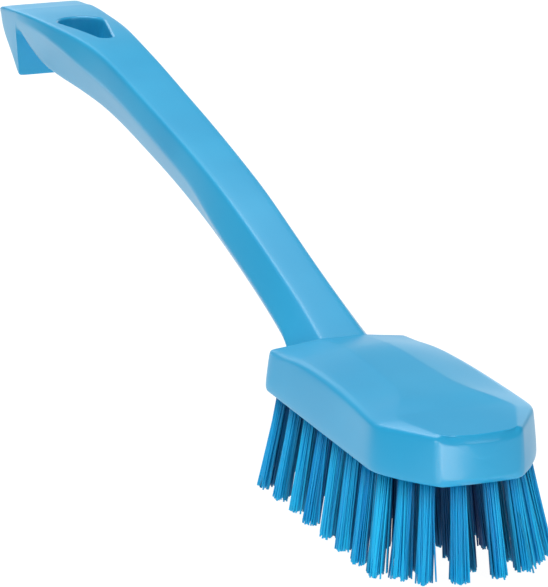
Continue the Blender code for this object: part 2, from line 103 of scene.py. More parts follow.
# %% [markdown]
# The studio is a pale table on a darker floor, with soft lights overhead, in
# front, behind, at the left and beside the camera. Pale cards stand at the
# back, and the slanted faces of the head mirror them. Two more lie on the
# table, where the gloss of the front wall and of the hook's side mirrors them.
# A pale sky fills the shadows. The background of the picture is the table.

# %% Table, floor and cards
TABLE_Z, GROUND_Z, LYING_Z = -0.0002, -0.004, 0.001

level = Vector((ahead.x, ahead.y, 0)).normalized()      # away from the camera
right = Vector((level.y, -level.x, 0))


def on_floor(away, across, z=0.0):
    """A place, counted away from the camera and to its right."""
    return level * away + right * across + Vector((0, 0, z))


def add_card(name, corners):
    """A flat four-cornered card of the studio."""
    mesh = bpy.data.meshes.new(name)
    mesh.from_pydata(corners, [], [(0, 1, 2, 3)])
    card = add_object(name, mesh)
    return card


def standing_card(name, away, start, stop, height):
    """An upright card that the camera does not see."""
    made = add_card(name, [on_floor(away, start), on_floor(away, stop),
                           on_floor(away, stop, height),
                           on_floor(away, start, height)])
    made.visible_camera = False
    return made


def lying_card(name, corners):
    """A card on the table that shows in the moulding's gloss alone."""
    made = add_card(name, [(x, y, LYING_Z) for x, y in corners])
    made.visible_camera = made.visible_diffuse = made.visible_shadow = False
    return made


table = add_card("table", [
    on_floor(away, across, TABLE_Z) for away, across in
    ((-1.1, 0.09), (-1.1, 1.6), (3.2, 1.6), (3.2, -1.2))])
ground = add_card("ground", [
    on_floor(away, across, GROUND_Z) for away, across in
    ((-9, -9), (-9, 9), (9, 9), (9, -9))])
backdrop = standing_card("backdrop", 3.2, -1.2, 1.8, 0.5)
left_card = standing_card("left_card", 3.1, -1.6, -0.35, 1.6)
right_card = standing_card("right_card", 3.1, 0.5, 1.9, 1.5)
front_card = lying_card("front_card", ((0.29, -0.14), (0.62, -0.22),
                                       (0.62, 0.0), (0.29, -0.006)))
hook_card = lying_card("hook_card", ((-1.0, -0.40), (-0.38, -0.20),
                                     (-0.38, -0.05), (-1.0, -0.05)))


# %% Lights and sky
def soft_light(name, place, target, size, power):
    """A round lamp that the camera does not see."""
    lamp = bpy.data.lights.new(name, "AREA")
    lamp.shape, lamp.size, lamp.energy = "DISK", size, power
    thing = add_object(name, lamp)
    look(thing, place, Vector(target) - Vector(place))
    thing.visible_camera = False


soft_light("overhead", (-0.45, -0.25, 1.7), (0.0, 0.0, 0.05), 1.5, 28)
soft_light("front", (1.7, 0.6, 1.0), (0.1, 0.0, 0.05), 1.0, 8)
soft_light("back", (-0.92, 0.34, 1.26), (0.0, 0.0, 0.05), 0.65, 1.5)
soft_light("left", (0.75, -1.1, 0.17), (0.12, 0.0, 0.03), 0.3, 2.9)
soft_light("left_back", (-0.56, -1.0, 0.95), (0.1, 0.0, 0.05), 1.0, 1.6)
soft_light("beside_camera", (1.25, -0.52, 0.12), (0.2, 0.0, 0.04), 0.25, 3.2)

sky = bpy.data.worlds.new("sky")
bpy.context.scene.world = sky
sky.use_nodes = True
sky_inputs = sky.node_tree.nodes["Background"].inputs
sky_inputs["Color"].default_value = (0.93, 0.96, 1, 1)
sky_inputs["Strength"].default_value = 0.22
bpy.context.scene.view_settings.view_transform = "Standard"

# %% [markdown]
# A finish is a small network of shader nodes. Written node by node it is hard
# to read, so one class wraps a socket and lets Python's + - * build the Math
# nodes. Any other node comes from `Finish.node`, which takes the node's type,
# its settings and its inputs.

# %% Shader arithmetic
class Wire:
    """A socket that can be added, taken away and multiplied."""

    def __init__(self, finish, socket):
        self.finish, self.socket = finish, socket

    def _math(self, operation, *values):
        return self.finish.node("ShaderNodeMath", dict(operation=operation),
                                dict(enumerate(values)))

    def __add__(self, other): return self._math("ADD", self, other)
    def __radd__(self, other): return self._math("ADD", other, self)
    def __rsub__(self, other): return self._math("SUBTRACT", other, self)
    def __mul__(self, other): return self._math("MULTIPLY", self, other)

    def ramp(self, low, high):
        """0 below low, 1 above high, and a smooth step between."""
        return self.finish.node(
            "ShaderNodeMapRange", dict(interpolation_type="SMOOTHSTEP"),
            {"Value": self, "From Min": low, "From Max": high})


class Finish:
    """A material with its Principled shader and helpers to feed it."""

    def __init__(self, name, colour, roughness, **constants):
        self.material = bpy.data.materials.new(name)
        self.material.use_nodes = True
        self.tree = self.material.node_tree
        self.shader = self.tree.nodes["Principled BSDF"]
        self.set("Base Color", (*colour, 1.0))
        self.set("Roughness", roughness)
        for key, value in constants.items():
            self.set(key.replace("_", " "), value)
        self.material.diffuse_color = (*colour, 1.0)

    def node(self, kind, settings, inputs, output=0):
        made = self.tree.nodes.new(kind)
        for key, value in settings.items():
            setattr(made, key, value)
        for key, value in inputs.items():
            self._feed(made.inputs[key], value)
        return Wire(self, made.outputs[output])

    def _feed(self, socket, value):
        if isinstance(value, Wire):
            self.tree.links.new(value.socket, socket)
        else:
            socket.default_value = value

    def set(self, name, value):
        self._feed(self.shader.inputs[name], value)

    def place(self):
        return self.node("ShaderNodeTexCoord", {}, {}, "Object")

    def stretched(self, scale):
        return self.node("ShaderNodeMapping", {},
                         {"Vector": self.place(), "Scale": scale})

    def noise(self, vector, scale, detail, roughness):
        return self.node("ShaderNodeTexNoise", {},
                         {"Vector": vector, "Scale": scale, "Detail": detail,
                          "Roughness": roughness})

    def mix(self, share, first, second):
        """The Mix node takes colours at 6 and 7 and gives one at 2."""
        return self.node("ShaderNodeMix", dict(data_type="RGBA"),
                         {0: share, 6: first, 7: second}, 2)

    def attribute(self, name):
        return self.node("ShaderNodeAttribute", dict(attribute_name=name),
                         {}, 2)

    def bump(self, height, strength, distance):
        self.set("Normal", self.node(
            "ShaderNodeBump", {}, {"Height": height, "Strength": strength,
                                   "Distance": distance}))


# %% Finishes of the studio
CARD_GREY, CARD_ROUGHNESS = (0.10, 0.10, 0.10), 0.75
WHITE, WARM = (1, 1, 1, 1), (1.0, 0.82, 0.68, 1)

pale = Finish("pale_floor", CARD_GREY, CARD_ROUGHNESS, Specular_IOR_Level=0.1,
              Emission_Color=WHITE, Emission_Strength=0.98)
card = Finish("pale_card", CARD_GREY, CARD_ROUGHNESS,
              Emission_Color=WHITE, Emission_Strength=1.6)
bright = Finish("bright_card", CARD_GREY, CARD_ROUGHNESS,
                Emission_Color=WARM, Emission_Strength=9.0)
grey = Finish("grey_ground", (0.20, 0.20, 0.20), 0.8)
for thing, finish in ((table, pale), (backdrop, pale), (left_card, card),
                      (right_card, card), (front_card, bright),
                      (hook_card, card), (ground, grey)):
    thing.data.materials.append(finish.material)

# %% [markdown]
# The moulding is one long skin over a row of cross-sections, from the end of
# the hook to the front of the head. They are those of the solid model, with
# small corrections, so its sizes are repeated here. Each table row says where
# a section stands and which share of each size it takes.

# %% Sizes and sections of the moulding
HEAD_LENGTH, HEAD_WIDTH = 124.7 * MM, 54.6 * MM
TOP_WIDTH, WAIST_WIDTH = 52.2 * MM, 46.8 * MM
WALL_HEIGHT, REAR_WALL_HEIGHT = 15.0 * MM, 11.3 * MM
CROWN_RISE, PLATEAU_WIDTH = 3.4 * MM, 15.2 * MM
FRONT_WIDTH, FRONT_CORNER_LENGTH = 27.4 * MM, 20.2 * MM
FRONT_BOW, CORNER_BOW, FRONT_DRAFT = 2.7 * MM, 1.2 * MM, 0.9 * MM
REAR_CORNER_LENGTH = 12.8 * MM
SHOULDER_WIDTH, SHOULDER_RISE = 1.9 * MM, 0.8 * MM
TOP_EDGE_ROUND, FOOT_EDGE_ROUND = 1.5 * MM, 2.2 * MM
WALL_CORNER_ROUND, FRONT_CORNER_ROUND = 2.0 * MM, 1.0 * MM
RIDGE_ROUND, MIDDLE_ROUND = 1.0 * MM, 0.8 * MM
BRISTLE_HEIGHT = 30.0 * MM
HANDLE_LENGTH, HANDLE_RISE = 277.4 * MM, 63.8 * MM
GRIP_WIDTH, END_WIDTH = 13.9 * MM, 30.0 * MM
GRIP_DEPTH, END_DEPTH = 19.4 * MM, 6.6 * MM
SIDE_SWELL, UNDER_WIDTH = 3.0 * MM, 13.0 * MM
GRIP_ROUND, SWELL_ROUND, UNDER_ROUND = 1.1 * MM, 1.0 * MM, 2.0 * MM
HOOK_THICKNESS, HOOK_DROP = 19.0 * MM, 24.8 * MM
HANG_LENGTH, HANG_WIDTH, HANG_TIP_WIDTH = 38.2 * MM, 16.8 * MM, 5.2 * MM
HANG_RIM_ROUND, HANG_FROM_HOOK = 1.2 * MM, 23.4 * MM

# along the handle, height, width of the top face, depth, place of the widest
# line in that depth, swell, width of the underside
HANDLE_SHARES = (
    (0.000, 0.299, 0.02, 0.02, 0.51, 2.43, 0.42),
    (0.026, 0.334, 0.00, 0.00, 0.48, 2.13, 0.24),
    (0.053, 0.368, 0.00, 0.00, 0.515, 1.90, 0.12),
    (0.117, 0.448, 0.00, 0.00, 0.557, 1.53, 0.03),
    (0.192, 0.542, 0.02, 0.00, 0.588, 1.33, 0.00),
    (0.277, 0.641, 0.06, 0.00, 0.585, 1.14, 0.00),
    (0.373, 0.730, 0.10, 0.01, 0.475, 0.73, 0.00),
    (0.469, 0.807, 0.15, 0.01, 0.45, 0.69, 0.00),
    (0.565, 0.877, 0.19, -0.02, 0.43, 0.69, 0.02),
    (0.650, 0.939, 0.23, -0.06, 0.44, 0.66, 0.06),
    (0.714, 0.975, 0.29, -0.08, 0.45, 0.62, 0.12),
    (0.767, 0.993, 0.41, -0.09, 0.42, 0.58, 0.21),
    (0.821, 1.000, 0.58, -0.07, 0.33, 0.54, 0.32),
    (0.868, 0.998, 0.71, -0.01, 0.28, 0.45, 0.46),
    (0.916, 0.992, 0.81, 0.17, 0.26, 0.30, 0.68),
    (0.959, 0.985, 0.92, 0.52, 0.30, 0.17, 0.83),
    (0.985, 0.978, 0.97, 0.84, 0.40, 0.10, 0.93),
    (0.989, 0.977, 0.98, 0.875, 0.42, 0.09, 0.94),
    (0.9965, 0.975, 0.985, 0.875, 0.43, 0.08, 0.96),
    (1.000, 0.974, 0.99, 0.79, 0.43, 0.07, 0.97),
)
FILLET_SHARES = (1.0, 0.9965, 0.989)    # sections of the hook's inner corner
# through the hook, drop of the underside, drop of the top, width below
HOOK_SHARES = (
    (0.03, 1.00, 0.00, 0.925),
    (0.11, 0.985, 0.01, 0.935),
    (0.22, 0.86, 0.02, 0.960),
    (0.36, 0.745, 0.03, 0.975),
    (0.52, 0.640, 0.04, 0.985),
    (0.72, 0.530, 0.055, 0.990),
    (0.88, 0.420, 0.07, 0.985),
    (0.965, 0.315, 0.09, 0.975),
    (1.00, 0.230, 0.13, 0.950),
)
# along the head, width of the upper edge, its height, crown, crown's width
HEAD_SHARES = (
    (0.06, 0.06, 0.30, 0.23, -0.04),
    (0.13, 0.12, 0.55, 0.50, -0.05),
    (0.21, 0.15, 0.82, 0.80, -0.05),
    (0.30, 0.20, 1.00, 0.96, -0.01),
    (0.42, 0.27, 1.14, 1.00, 0.01),
    (0.54, 0.36, 1.22, 1.00, 0.03),
    (0.66, 0.48, 1.22, 1.00, 0.06),
    (0.76, 0.62, 1.18, 1.00, 0.11),
    (0.84, 0.76, 1.12, 1.00, 0.20),
    (0.905, 0.87, 1.06, 1.00, 0.36),
)
HANDLE_STATIONS = 52
UNDER_POINT = 0.55              # extra point of the underside, across its half
CROWN_FALL = 0.36               # share of the head over which the crown falls
CREASE, MID_CREASE = 0.97, 0.48         # where the foot meets the head
REAR_EDGE = 0.52                        # rear end of the head's upper edge
# rings along a slanted front corner, and how far out their crown point lies
CORNER_SHARES = (0.27, 0.5, 0.73, 0.9)
CORNER_SPREADS = (0.70, 0.76, 0.78, 0.80, 0.80, 0.80, 0.80)
CROWN_REACH, CROWN_SAG, SHOULDER_REACH = 0.93, 0.55, 0.9
WALL_SHARES = (0.0, 0.45, 0.8, 1.0)     # points across half the front wall
WALL_FILL = (0.88, 0.6, 0.25)           # rings that close the front wall

wall_top_z = BRISTLE_HEIGHT + WALL_HEIGHT
head_rear_x = -HEAD_LENGTH
rear_corner_x = head_rear_x + REAR_CORNER_LENGTH
front_corner_x = -FRONT_BOW - FRONT_CORNER_LENGTH
hook_x = head_rear_x - HANDLE_LENGTH
# the sections count from the front of the head, the frame from the middle
front_x = (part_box("block_and_handle")[0].x + HEAD_LENGTH + HANDLE_LENGTH
           + HOOK_THICKNESS)
print("front of the head at x =", round(front_x, 5))

# %% [markdown]
# Half of a section is a short list of corners, from the top centre to the
# bottom centre. Real mouldings have no sharp corner, so each corner becomes an
# arc of a few points, and the half is mirrored into a closed ring.

# %% Rounded sections
ARC_LIMIT = 0.4                 # an arc takes at most this share of a side


def between(start, stop, share):
    return start + (stop - start) * share


def smooth_row(table, share):
    """Row of a table at a share of its first column, by a smooth curve."""
    last = len(table) - 1
    index = 0
    while index < last - 1 and table[index + 1][0] < share:
        index += 1
    before, here = table[max(index - 1, 0)], table[index]
    there, after = table[index + 1], table[min(index + 2, last)]
    span = there[0] - here[0]
    step = (share - here[0]) / span
    row = []
    for a, b, c, d in zip(before, here, there, after):
        pull_in = (c - a) * span / (there[0] - before[0])
        pull_out = (d - b) * span / (after[0] - here[0])
        row.append((2 * step ** 3 - 3 * step ** 2 + 1) * b
                   + (step ** 3 - 2 * step ** 2 + step) * pull_in
                   + (3 * step ** 2 - 2 * step ** 3) * c
                   + (step ** 3 - step ** 2) * pull_out)
    return row


def rounded_ring(half, rounds):
    """Closed ring of a half section, with its corners turned into arcs."""
    half = [Vector(point) for point in half]
    right = [half[0]]
    for index in range(1, len(half) - 1):
        corner, size = half[index], rounds[index - 1]
        if size == 0.0:
            right.append(corner)
            continue
        back, on = half[index - 1] - corner, half[index + 1] - corner
        start = corner + back.normalized() * min(size, back.length * ARC_LIMIT)
        stop = corner + on.normalized() * min(size, on.length * ARC_LIMIT)
        right += [start, (start + corner * 2 + stop) / 4, stop]
    right.append(half[-1])
    left = [Vector((p.x, -p.y, p.z)) for p in reversed(right[1:-1])]
    return right + left


# %% [markdown]
# Along the handle a section has a flat top face, a side that swells to its
# widest line and a narrower underside. The same few sizes, blended along the
# table, draw the arch, the waist behind the head and the broad end. The hook
# continues the row: its inner face is upright and its outer side slants.

# %% Sections of the handle and the hook
def handle_ring(share):
    """Half section of the handle, from the head at 0 to the hook at 1."""
    (along, height, top_share, depth_share, swell_place, swell,
     under_share) = smooth_row(HANDLE_SHARES, share)
    x = head_rear_x - HANDLE_LENGTH * along
    top = BRISTLE_HEIGHT + HANDLE_RISE * height
    half_top = between(GRIP_WIDTH, END_WIDTH, top_share) / 2
    depth = between(GRIP_DEPTH, END_DEPTH, depth_share)
    half_swell = half_top + SIDE_SWELL * swell
    swell_z = top - depth * swell_place
    under_z = max(top - depth, BRISTLE_HEIGHT)
    half_under = between(UNDER_WIDTH, END_WIDTH, under_share) / 2
    half = [(x, 0, top), (x, half_top, top),
            (x, (half_top + half_swell) / 2, (top + swell_z) / 2),
            (x, half_swell, swell_z), (x, half_under, under_z),
            (x, half_under * UNDER_POINT, under_z), (x, 0, under_z)]
    return half, (GRIP_ROUND, MIDDLE_ROUND, SWELL_ROUND, UNDER_ROUND, 0.0)


def hook_ring(row):
    """Half section of the hook, whose lower part keeps to the inner face."""
    through, under_drop, top_drop, under_share = row
    x = hook_x - HOOK_THICKNESS * through
    under_x = x + HOOK_THICKNESS * HOOK_SHARES[0][0]
    end_z = handle_ring(1.0)[0][0][2]
    top, under = end_z - HOOK_DROP * top_drop, end_z - HOOK_DROP * under_drop
    half_top = END_WIDTH / 2
    half_under = half_top * under_share
    half_swell = between(half_top, half_under, 0.5)
    half = [(x, 0, top), (x, half_top, top),
            (x, between(half_top, half_swell, 0.5), between(top, under, 0.25)),
            (between(x, under_x, 0.5), half_swell, between(top, under, 0.5)),
            (under_x, half_under, under),
            (under_x, half_under * UNDER_POINT, under), (under_x, 0, under)]
    return half, (GRIP_ROUND, MIDDLE_ROUND, SWELL_ROUND, GRIP_ROUND, 0.0)


# %% [markdown]
# The head is a faceted block: a level plateau between two ridge lines, two
# slanting flanks, a soft shoulder along the upper edge, upright walls, and a
# crown that falls towards the front. At its rear the sections turn round the
# slanted corners into the handle's foot.

# %% Sections of the head
def crown_share(x):
    """How much of the crown is left this far from the front."""
    step = min(-x / (HEAD_LENGTH * CROWN_FALL), 1.0)
    return 1.0 - (1.0 - step) ** 2


def front_wall_x(y, height_share):
    return -FRONT_BOW * (2 * y / FRONT_WIDTH) ** 2 - FRONT_DRAFT * height_share


def head_ring(row):
    """Half section of the head between its slanted corners."""
    along, edge_share, wall_share, crown, ridge_share = row
    x = between(rear_corner_x, front_corner_x, along)
    edge = between(WAIST_WIDTH, TOP_WIDTH, edge_share) / 2
    wall = between(REAR_WALL_HEIGHT, WALL_HEIGHT, wall_share)
    edge_z = BRISTLE_HEIGHT + wall
    ridge_z = wall_top_z + CROWN_RISE * crown * crown_share(x)
    ridge = between(PLATEAU_WIDTH / 2, edge, ridge_share)
    return [(x, 0, ridge_z), (x, ridge, ridge_z),
            (x, edge - SHOULDER_WIDTH, edge_z + SHOULDER_RISE),
            (x, edge, edge_z), (x, HEAD_WIDTH / 2, BRISTLE_HEIGHT),
            (x, HEAD_WIDTH / 2 * UNDER_POINT, BRISTLE_HEIGHT),
            (x, 0, BRISTLE_HEIGHT)]


def junction_rings():
    """The handle's foot, the rear of the head and the turn into its sides."""
    foot, rounds = handle_ring(0.0)
    crease_x = between(head_rear_x, rear_corner_x, CREASE)
    foot_z, rear_z = wall_top_z, BRISTLE_HEIGHT + REAR_WALL_HEIGHT
    half_plateau = PLATEAU_WIDTH / 2
    swell = foot[3]
    foot[0], foot[1] = (crease_x, 0, foot_z), (crease_x, half_plateau, foot_z)
    foot[2] = (between(swell[0], crease_x, MID_CREASE),
               between(swell[1], half_plateau, MID_CREASE),
               between(swell[2], foot_z, MID_CREASE))
    edge_x = between(head_rear_x, rear_corner_x, REAR_EDGE)
    low_y, half_turn = HEAD_WIDTH / 2, WALL_CORNER_ROUND / 2
    top_x = crease_x + SHOULDER_RISE / 2
    rear = [(top_x, 0, foot_z), (top_x, half_plateau, foot_z),
            (edge_x + SHOULDER_WIDTH, WAIST_WIDTH / 2 - SHOULDER_WIDTH,
             rear_z + SHOULDER_RISE),
            (edge_x, WAIST_WIDTH / 2 - half_turn, rear_z),
            (rear_corner_x - half_turn, low_y - half_turn, BRISTLE_HEIGHT),
            (rear_corner_x, low_y * UNDER_POINT, BRISTLE_HEIGHT),
            (rear_corner_x, 0, BRISTLE_HEIGHT)]
    turn_x = edge_x + WALL_CORNER_ROUND
    low_x = rear_corner_x + WALL_CORNER_ROUND
    turned = [(crease_x + SHOULDER_RISE, 0, foot_z),
              (crease_x + SHOULDER_RISE, half_plateau, foot_z),
              (turn_x, WAIST_WIDTH / 2 - SHOULDER_WIDTH / 2,
               rear_z + SHOULDER_RISE),
              (turn_x, WAIST_WIDTH / 2, rear_z),
              (low_x, low_y, BRISTLE_HEIGHT),
              (low_x, low_y * UNDER_POINT, BRISTLE_HEIGHT),
              (low_x, 0, BRISTLE_HEIGHT)]
    return rounded_ring(foot, rounds), rear, turned


# %% Sections round the front
def corner_rings():
    """Sections along the slanted corner, fanned out from the middle."""
    top_z, low_z, half_front = wall_top_z, BRISTLE_HEIGHT, FRONT_WIDTH / 2
    run = math.hypot(FRONT_CORNER_LENGTH, (HEAD_WIDTH - FRONT_WIDTH) / 2)
    turn, last = WALL_CORNER_ROUND / run, 1.0 - FRONT_CORNER_ROUND / run
    first_low = Vector((front_corner_x, HEAD_WIDTH / 2, low_z))
    last_low = Vector((front_wall_x(half_front, 0.0), half_front, low_z))
    first_top = Vector((front_corner_x, TOP_WIDTH / 2, top_z))
    last_top = Vector((front_wall_x(half_front, 1.0), half_front, top_z))
    outward = Vector((first_low.y - last_low.y,
                      last_low.x - first_low.x, 0)).normalized()
    rings = []
    for share, spread in zip((-turn, turn, *CORNER_SHARES, last),
                             CORNER_SPREADS):
        if share < 0.0:
            low = first_low + Vector((share * run, 0, 0))
            top = first_top + Vector((share * run, 0, 0))
        else:
            low = first_low.lerp(last_low, share)
            low += outward * (CORNER_BOW * 4 * share * (1.0 - share))
            top = first_top.lerp(last_top, share)
        middle_x = between(first_top.x, 0, max(share, 0.0) * CROWN_REACH)
        side_x = between(middle_x, top.x, spread * spread)
        crown = [between(top_z, top_z + CROWN_RISE, crown_share(x))
                 for x in (middle_x, side_x)]
        shoulder_z = top.z + SHOULDER_RISE
        rings.append([
            (middle_x, 0, crown[0]),
            (side_x, top.y * spread, between(shoulder_z, crown[1], CROWN_SAG)),
            (between(middle_x, top.x, SHOULDER_REACH) - SHOULDER_RISE,
             top.y - SHOULDER_WIDTH, shoulder_z),
            tuple(top), tuple(low),
            (low.x, low.y * UNDER_POINT, low_z), (low.x, 0, low_z)])
    return rings


def wall_ring(on_wall):
    """The edge of the front wall: behind its rounding, or on the wall."""
    corner = FRONT_CORNER_ROUND
    y_side = FRONT_WIDTH / 2 - (corner if on_wall else corner / 4)
    top_z, low_z = wall_top_z, BRISTLE_HEIGHT
    top_inset, low_inset = TOP_EDGE_ROUND, FOOT_EDGE_ROUND
    side_inset = corner / 4
    if on_wall:
        top_z, low_z = top_z - TOP_EDGE_ROUND, low_z + FOOT_EDGE_ROUND
        top_inset = low_inset = side_inset = 0.0
    ring = []
    for share in WALL_SHARES:
        inset = side_inset if share == 1.0 else top_inset
        rise = 0.0 if on_wall else SHOULDER_RISE * (1.0 - share ** 4) / 2
        ring.append((front_wall_x(y_side * share, 1.0) - inset,
                     y_side * share, top_z + rise))
    for share in (1.0, UNDER_POINT, 0.0):
        inset = side_inset if share == 1.0 else low_inset
        ring.append((front_wall_x(y_side * share, 0.0) - inset,
                     y_side * share, low_z))
    return ring


def front_rings():
    """Sections from the slanted corners to the middle of the front wall."""
    rings = corner_rings() + [wall_ring(False), wall_ring(True)]
    outline = rings[-1]
    middle_z = between(BRISTLE_HEIGHT, wall_top_z, 0.5)
    for share in WALL_FILL:
        ring = []
        for _, y, z in outline:
            z = between(middle_z, z, share)
            height_share = (z - BRISTLE_HEIGHT) / WALL_HEIGHT
            ring.append((front_wall_x(y * share, height_share), y * share, z))
        rings.append(ring)
    return rings


def moulding_rings():
    """All sections, from the end of the hook to the front wall."""
    rings = [rounded_ring(*hook_ring(row)) for row in reversed(HOOK_SHARES)]
    stations = [1.0 - i / HANDLE_STATIONS for i in range(1, HANDLE_STATIONS)]
    for share in (*FILLET_SHARES, *stations):
        rings.append(rounded_ring(*handle_ring(share)))
    foot, rear, turned = junction_rings()
    rings.append(foot)
    rounds = (RIDGE_ROUND, MIDDLE_ROUND, TOP_EDGE_ROUND, FOOT_EDGE_ROUND, 0.0)
    rings += [rounded_ring(ring, rounds) for ring in (rear, turned)]
    rings += [rounded_ring(head_ring(row), rounds) for row in HEAD_SHARES]
    rings += [rounded_ring(ring, rounds) for ring in front_rings()]
    return rings


# %% [markdown]
# Skinned directly, the sections give flat strips with visible steps. They are
# quads, so a Subdivision Surface can smooth them. It would also melt every
# crease, so extra rings stand close to the ones that must stay crisp: both
# faces of the hook, the handle's foot and the rear of the head.

# %% The skin
CRISP = {"hook": 0.7 * MM, "foot": 1.3 * MM, "rear": 1.1 * MM}
CRISP_LIMIT = 0.3               # at most this share of the way to the next
SMOOTH_LEVELS = 2


def supported(rings):
    """Adds rings close to the crisp ones, on both sides."""
    hook_inner = len(HOOK_SHARES) - 1
    foot = len(HOOK_SHARES) + len(FILLET_SHARES) + HANDLE_STATIONS - 1
    crisp = {0: "hook", hook_inner: "hook", hook_inner + 1: "hook",
             foot: "foot", foot + 1: "rear"}
    made = []
    for i, ring in enumerate(rings):
        if i in crisp and i > 0:
            made.append(step_towards(ring, rings[i - 1], CRISP[crisp[i]]))
        made.append(ring)
        if i in crisp:
            made.append(step_towards(ring, rings[i + 1], CRISP[crisp[i]]))
    return made


def step_towards(ring, other, step):
    """A ring on the skin between two rings, a step away from the first."""
    moved = []
    for here, there in zip(ring, other):
        gap = there - here
        share = min(step / gap.length, CRISP_LIMIT) if gap.length > 0 else 0.0
        moved.append(here + gap * share)
    return moved


def bridge(shape, layers):
    """Quads between each closed ring of vertices and the next one."""
    count = len(layers[0])
    for here, there in zip(layers, layers[1:]):
        for i in range(count):
            j = (i + 1) % count
            shape.faces.new((here[i], here[j], there[j], there[i]))


def as_mesh(shape, name):
    """A mesh of the bmesh, which is freed."""
    mesh = bpy.data.meshes.new(name)
    shape.to_mesh(mesh)
    shape.free()
    return mesh


def skin(rings):
    """A closed mesh over the sections."""
    shape = bmesh.new()
    layers = [[shape.verts.new((p.x + front_x, p.y, p.z)) for p in ring]
              for ring in rings]
    bridge(shape, layers)
    for ring in (layers[0][::-1], layers[-1]):
        end = shape.faces.new(ring)
        bmesh.ops.poke(shape, faces=[end], center_mode="MEAN")
    bmesh.ops.recalc_face_normals(shape, faces=shape.faces)
    return as_mesh(shape, "moulding")


def applied(thing):
    """Works the modifiers of an object into its mesh."""
    bpy.context.view_layer.update()
    depsgraph = bpy.context.evaluated_depsgraph_get()
    mesh = bpy.data.meshes.new_from_object(thing.evaluated_get(depsgraph),
                                           depsgraph=depsgraph)
    thing.modifiers.clear()
    thing.data = mesh


moulding = add_object("moulding", skin(supported(moulding_rings())))
smooth = moulding.modifiers.new("smooth", "SUBSURF")
smooth.levels = smooth.render_levels = SMOOTH_LEVELS
applied(moulding)
print("moulding:", len(moulding.data.polygons), "faces")

# %% [markdown]
# Each tuft sits in its own round hole, splayed like the tuft. The outer row
# leans outwards and the tufts near both ends lean towards the ends. The same
# list places the holes here and the filaments further down.

# %% Where the tufts are
TUFT_RADIUS, HOLE_RADIUS, HOLE_DEPTH = 2.15 * MM, 2.45 * MM, 9.0 * MM
TUFT_PITCH, ROW_INSET = 11.9 * MM, 5.0 * MM
SIDE_SPLAY, END_SPLAY = math.radians(10.3), math.radians(10.5)
FRONT_TUFT_SHARES = ((0.358, 0.183), (0.512, 0.480), (0.760, 0.636))
REAR_TUFT_SHARE, MID_ROW_SHARE = 0.36, 0.5
UPRIGHT_SHARE = 0.7             # where along the head tufts lean neither way


def tuft_places():
    """Mouth of the hole and lean of every tuft."""
    outer_y = HEAD_WIDTH / 2 - ROW_INSET
    mid_y = outer_y * MID_ROW_SHARE
    spots = []
    first_x = front_corner_x + TUFT_RADIUS / 4
    rear_x = between(rear_corner_x, head_rear_x, REAR_TUFT_SHARE)
    for sign in (1, -1):
        for i in range(int((first_x - rear_corner_x) / TUFT_PITCH) + 1):
            x = first_x - TUFT_PITCH * i
            spots += [(x, sign * outer_y), (x + TUFT_RADIUS / 2, sign * mid_y)]
        spots += [(front_corner_x * along, sign * HEAD_WIDTH / 2 * across)
                  for along, across in FRONT_TUFT_SHARES]
        spots.append((rear_x - TUFT_RADIUS / 2,
                      sign * (mid_y - TUFT_RADIUS / 2)))
    first_x = front_corner_x + TUFT_PITCH / 2
    for i in range(int((first_x - head_rear_x - ROW_INSET) / TUFT_PITCH) + 1):
        spots.append((first_x - TUFT_PITCH * i, 0))
    places = []
    for x, y in spots:
        forward = (x - head_rear_x * UPRIGHT_SHARE) / (HEAD_LENGTH / 2)
        lean = Vector((math.tan(END_SPLAY) * min(forward, 1.0),
                       math.tan(SIDE_SPLAY) * y / outer_y, -1)).normalized()
        places.append((Vector((x + front_x, y, BRISTLE_HEIGHT)), lean))
    return places


def tuft_frame(mouth, lean):
    """Frame at the hole's mouth: +Z up the hole, X near world X."""
    up = -lean
    side = up.cross(Vector((1, 0, 0))).normalized()
    along = side.cross(up).normalized()
    turned = Matrix((along, side, up)).transposed().to_4x4()
    turned.translation = mouth
    return turned


places = tuft_places()
print(len(places), "tufts for", len(nodes) - 1, "nodes")

# %% [markdown]
# The holes and the hanging slot are cut from the smooth skin with exact
# Booleans. The slot tapers towards the head. Its rim is a quarter round above
# and a smaller one below, so the cutter flares where it leaves the handle.

# %% Holes and slot
# profile of the slot's rim, outwards and upwards in shares of its round
RIM_PROFILE = ((0.66, 1.0), (0.66, -0.06), (0.48, -0.15), (0.29, -0.29),
               (0.15, -0.46), (0.06, -0.66), (0.0, -1.0))
RIM = [(False, *step) for step in RIM_PROFILE]
RIM += [(True, *step) for step in reversed(RIM_PROFILE)]
HOLE_SIDES, HOLE_OVERRUN = 20, 2 * MM
BROAD_STEPS, NARROW_STEPS = 40, 16      # points round the slot's two ends
LONGEST_STEP = 2.5 * MM
SAME_PLACE = 0.002 * MM
SHARP_ANGLE = math.radians(35)


def hole_cutter():
    """One round bar for each tuft, from below the mouth to the hole's end."""
    shape = bmesh.new()
    for mouth, lean in places:
        bmesh.ops.create_cone(
            shape, cap_ends=True, segments=HOLE_SIDES, radius1=HOLE_RADIUS,
            radius2=HOLE_RADIUS, depth=HOLE_DEPTH + HOLE_OVERRUN,
            matrix=tuft_frame(mouth, lean) @ Matrix.Translation(
                (0, 0, HOLE_DEPTH / 2 - HOLE_OVERRUN / 2)))
    return as_mesh(shape, "holes")


